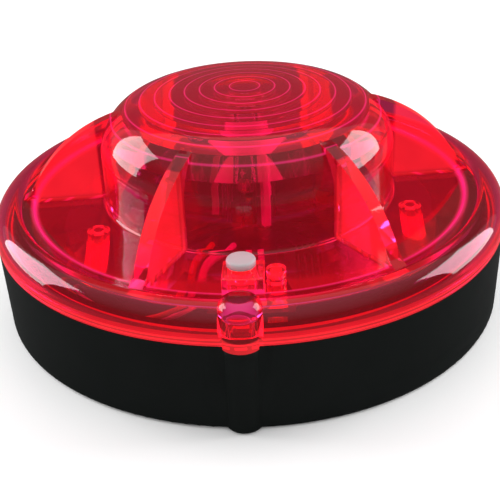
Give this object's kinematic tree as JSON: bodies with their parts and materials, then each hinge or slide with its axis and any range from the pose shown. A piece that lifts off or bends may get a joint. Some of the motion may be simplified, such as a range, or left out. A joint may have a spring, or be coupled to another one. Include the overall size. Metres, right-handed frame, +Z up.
{
  "type": "barricade warning light",
  "caption": "Round battery warning light: black base with magnets, clear red lens cover with ribbed dome and rim, white push button and coin-turn battery door.",
  "frame": {"origin": "on the base axis, in the plane that the foot ring stands on", "axes": "+Z up along the dome axis, the push button and the front bead on the -Y side"},
  "size_m": [0.108, 0.1095, 0.0458],
  "materials": {
    "clear_red": "clear moulded polycarbonate",
    "black_plastic": "satin moulded",
    "white_button": "satin moulded",
    "white_plastic": "moulded",
    "clear_led": "clear epoxy",
    "black_rubber": "moulded",
    "clear_rubber": "moulded silicone",
    "board_green": "solder mask",
    "black_epoxy": "moulded epoxy",
    "steel": "zinc plated",
    "tin": "tinned",
    "nickel": "nickel plated",
    "copper_wire": "enamelled winding",
    "cell_sleeve": "printed sleeve",
    "ferrite": "sintered",
    "chip_ceramic": "ceramic",
    "can_sleeve": "shrunk sleeve",
    "wire_red": "insulation",
    "wire_white": "insulation",
    "plunger_plastic": "moulded"
  },
  "bodies": {
    "case": {"lens_cover": "clear_red", "base_housing": "black_plastic", "cover_seal": "black_rubber", "case_screws": "steel", "magnets": "nickel", "battery_front": "cell_sleeve", "battery_rear": "cell_sleeve", "spring_front": "steel", "spring_rear": "steel", "negative_contact": "nickel", "positive_contact": "nickel", "bridge_contact": "nickel", "main_board": "board_green", "led_holder": "white_plastic", "side_leds": "clear_led", "side_led_leads": "tin", "top_led": "clear_led", "top_led_leads": "tin", "top_reflector": "white_plastic", "control_chip": "black_epoxy", "chip_leads": "tin", "resistors": "chip_ceramic", "capacitor": "can_sleeve", "boost_coil": "ferrite", "coil_winding": "copper_wire", "switch_board": "board_green", "switch_body": "black_epoxy", "button_seal": "clear_rubber", "battery_lead_negative": "wire_white", "battery_lead_positive": "wire_red", "switch_lead_left": "wire_white", "switch_lead_right": "wire_white"},
    "button": {"push_button": "white_button", "switch_plunger": "plunger_plastic"},
    "door": {"battery_door": "black_plastic", "door_gasket": "black_rubber"}
  },
  "joints": [
    {"name": "button_press", "type": "slide", "parent": "case", "child": "button", "axis": [0, 0, -1], "range_m": [0, 0.00045], "stiffness_N_per_m": 2500, "springref_m": -0.0002},
    {"name": "door_turn", "type": "hinge", "parent": "case", "child": "door", "pos_m": [0, 0, 0.0006], "axis": [0, 0, -1], "range_deg": [0, 35]}
  ]
}
